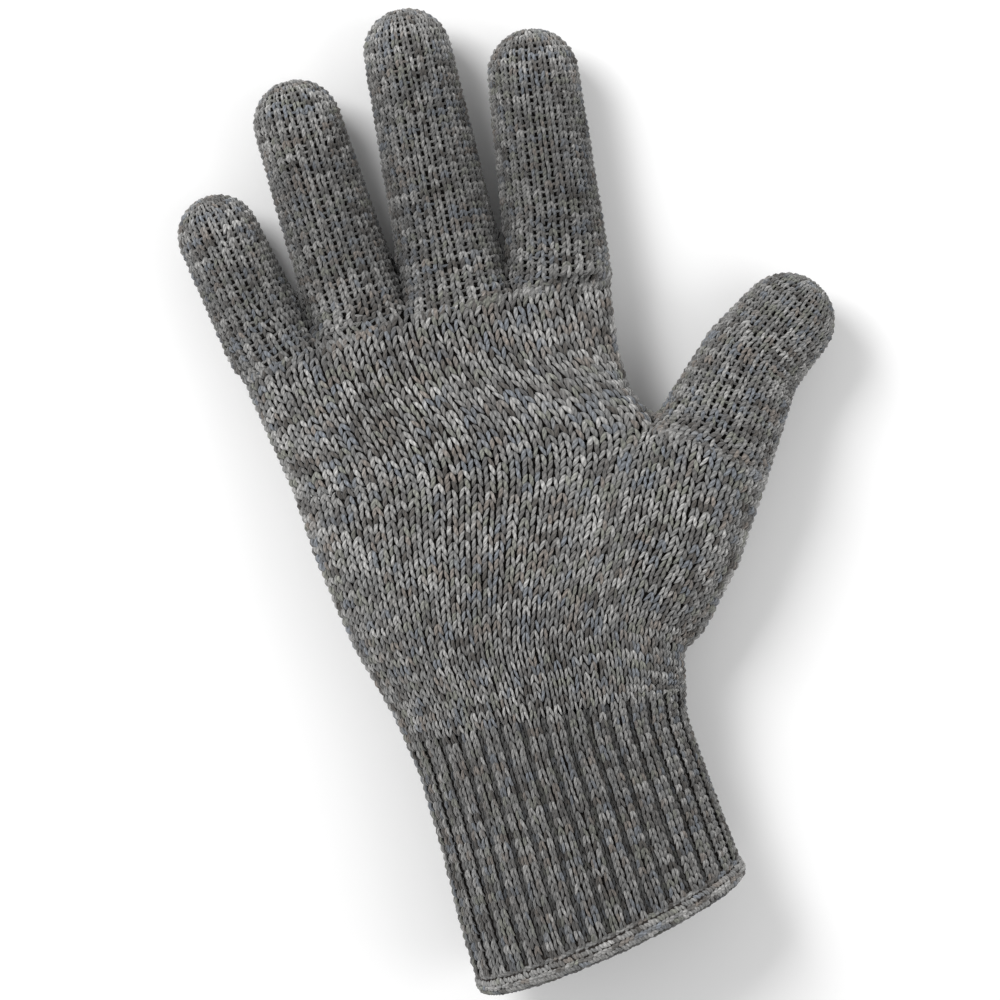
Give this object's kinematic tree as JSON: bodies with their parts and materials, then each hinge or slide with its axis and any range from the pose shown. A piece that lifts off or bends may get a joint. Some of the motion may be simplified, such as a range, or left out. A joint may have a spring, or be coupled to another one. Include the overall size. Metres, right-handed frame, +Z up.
{
  "type": "knitted glove",
  "caption": "Knitted wool glove lying palm down: ribbed cuff with an overlocked hem, separate closed fingers and thumb, folding at the wrist, knuckles and finger joints",
  "frame": {"origin": "on the table, under the middle of the palm, the glove lying palm down", "axes": "+X across the hand to the thumb side, +Y from the cuff to the fingertips, +Z up through the back of the hand"},
  "size_m": [0.1662, 0.2619, 0.0421],
  "materials": {
    "ragg_knit": "grey flecked wool stockinette, matte",
    "ribbed_knit": "the same wool in ribs, matte",
    "overlock_yarn": "pale overlocked edge, matte",
    "elastic_yarn": "covered elastic yarn, matte"
  },
  "bodies": {
    "hand": {"five_finger_body": "ragg_knit", "four_finger_body": "ragg_knit", "wrist_band": "ragg_knit", "knuckle_band": "ragg_knit", "thumb_band_1": "ragg_knit"},
    "cuff": {"rib_cuff": "ribbed_knit", "cuff_overlock_edge": "overlock_yarn", "cuff_elastic_threads": "elastic_yarn"},
    "finger_roots": {"finger_root_band": "ragg_knit", "index_band_1": "ragg_knit", "middle_band_1": "ragg_knit", "ring_band_1": "ragg_knit", "little_band_1": "ragg_knit"},
    "index_first": {"index_base": "ragg_knit", "index_band_2": "ragg_knit"},
    "index_second": {"index_middle": "ragg_knit", "index_band_3": "ragg_knit"},
    "index_end": {"index_tip": "ragg_knit"},
    "middle_first": {"middle_base": "ragg_knit", "middle_band_2": "ragg_knit"},
    "middle_second": {"middle_middle": "ragg_knit", "middle_band_3": "ragg_knit"},
    "middle_end": {"middle_tip": "ragg_knit"},
    "ring_first": {"ring_base": "ragg_knit", "ring_band_2": "ragg_knit"},
    "ring_second": {"ring_middle": "ragg_knit", "ring_band_3": "ragg_knit"},
    "ring_end": {"ring_tip": "ragg_knit"},
    "little_first": {"little_base": "ragg_knit", "little_band_2": "ragg_knit"},
    "little_second": {"little_middle": "ragg_knit", "little_band_3": "ragg_knit"},
    "little_end": {"little_tip": "ragg_knit"},
    "thumb_first": {"thumb_base": "ragg_knit", "thumb_band_2": "ragg_knit"},
    "thumb_end": {"thumb_tip": "ragg_knit"}
  },
  "joints": [
    {"name": "wrist", "type": "hinge", "parent": "hand", "child": "cuff", "pos_m": [0, -0.066, 0.0195], "axis": [1, 0, 0], "range_deg": [-35, 35], "stiffness_Nm_per_rad": 0.03, "deforming": ["wrist_band"]},
    {"name": "knuckles", "type": "hinge", "parent": "hand", "child": "finger_roots", "pos_m": [-0.01, 0.04, 0.0135], "axis": [-0.9945, -0.1045, 0], "range_deg": [-10, 45], "stiffness_Nm_per_rad": 0.03, "deforming": ["knuckle_band"]},
    {"name": "index_root_bend", "type": "hinge", "parent": "finger_roots", "child": "index_first", "pos_m": [0.02839, 0.06139, 0.01], "axis": [-0.9968, 0.0802, 0], "range_deg": [-10, 35], "stiffness_Nm_per_rad": 0.01, "deforming": ["index_band_1"]},
    {"name": "index_middle_bend", "type": "hinge", "parent": "index_first", "child": "index_second", "pos_m": [0.02999, 0.08132, 0.00938], "axis": [-0.9968, 0.0802, 0], "range_deg": [0, 75], "stiffness_Nm_per_rad": 0.01, "deforming": ["index_band_2"]},
    {"name": "index_tip_bend", "type": "hinge", "parent": "index_second", "child": "index_end", "pos_m": [0.0316, 0.10124, 0.00875], "axis": [-0.9968, 0.0802, 0], "range_deg": [0, 50], "stiffness_Nm_per_rad": 0.01, "deforming": ["index_band_3"]},
    {"name": "middle_root_bend", "type": "hinge", "parent": "finger_roots", "child": "middle_first", "pos_m": [0.0003, 0.06287, 0.0103], "axis": [-1, 0.007, 0], "range_deg": [-10, 35], "stiffness_Nm_per_rad": 0.01, "deforming": ["middle_band_1"]},
    {"name": "middle_middle_bend", "type": "hinge", "parent": "middle_first", "child": "middle_second", "pos_m": [0.00046, 0.08635, 0.00942], "axis": [-1, 0.007, 0], "range_deg": [0, 75], "stiffness_Nm_per_rad": 0.01, "deforming": ["middle_band_2"]},
    {"name": "middle_tip_bend", "type": "hinge", "parent": "middle_second", "child": "middle_end", "pos_m": [0.00063, 0.11034, 0.00853], "axis": [-1, 0.007, 0], "range_deg": [0, 50], "stiffness_Nm_per_rad": 0.01, "deforming": ["middle_band_3"]},
    {"name": "ring_root_bend", "type": "hinge", "parent": "finger_roots", "child": "ring_first", "pos_m": [-0.02719, 0.06091, 0.0094], "axis": [-0.9952, -0.0976, 0], "range_deg": [-10, 35], "stiffness_Nm_per_rad": 0.01, "deforming": ["ring_band_1"]},
    {"name": "ring_middle_bend", "type": "hinge", "parent": "ring_first", "child": "ring_second", "pos_m": [-0.02919, 0.0813, 0.00885], "axis": [-0.9952, -0.0976, 0], "range_deg": [0, 75], "stiffness_Nm_per_rad": 0.01, "deforming": ["ring_band_2"]},
    {"name": "ring_tip_bend", "type": "hinge", "parent": "ring_second", "child": "ring_end", "pos_m": [-0.03119, 0.1017, 0.00831], "axis": [-0.9952, -0.0976, 0], "range_deg": [0, 50], "stiffness_Nm_per_rad": 0.01, "deforming": ["ring_band_3"]},
    {"name": "little_root_bend", "type": "hinge", "parent": "finger_roots", "child": "little_first", "pos_m": [-0.05238, 0.05761, 0.008], "axis": [-0.9736, -0.2284, 0], "range_deg": [-10, 35], "stiffness_Nm_per_rad": 0.01, "deforming": ["little_band_1"]},
    {"name": "little_middle_bend", "type": "hinge", "parent": "little_first", "child": "little_second", "pos_m": [-0.05539, 0.07046, 0.00767], "axis": [-0.9736, -0.2284, 0], "range_deg": [0, 65], "stiffness_Nm_per_rad": 0.01, "deforming": ["little_band_2"]},
    {"name": "little_tip_bend", "type": "hinge", "parent": "little_second", "child": "little_end", "pos_m": [-0.05836, 0.08311, 0.00734], "axis": [-0.9736, -0.2284, 0], "range_deg": [0, 40], "stiffness_Nm_per_rad": 0.01, "deforming": ["little_band_3"]},
    {"name": "thumb_root_bend", "type": "hinge", "parent": "hand", "child": "thumb_first", "pos_m": [0.05738, 0.00171, 0.01342], "axis": [-0.7986, 0.6018, 0], "range_deg": [-10, 40], "stiffness_Nm_per_rad": 0.01, "deforming": ["thumb_band_1"]},
    {"name": "thumb_tip_bend", "type": "hinge", "parent": "thumb_first", "child": "thumb_end", "pos_m": [0.07234, 0.02156, 0.01081], "axis": [-0.7986, 0.6018, 0], "range_deg": [-5, 55], "stiffness_Nm_per_rad": 0.01, "deforming": ["thumb_band_2"]}
  ]
}
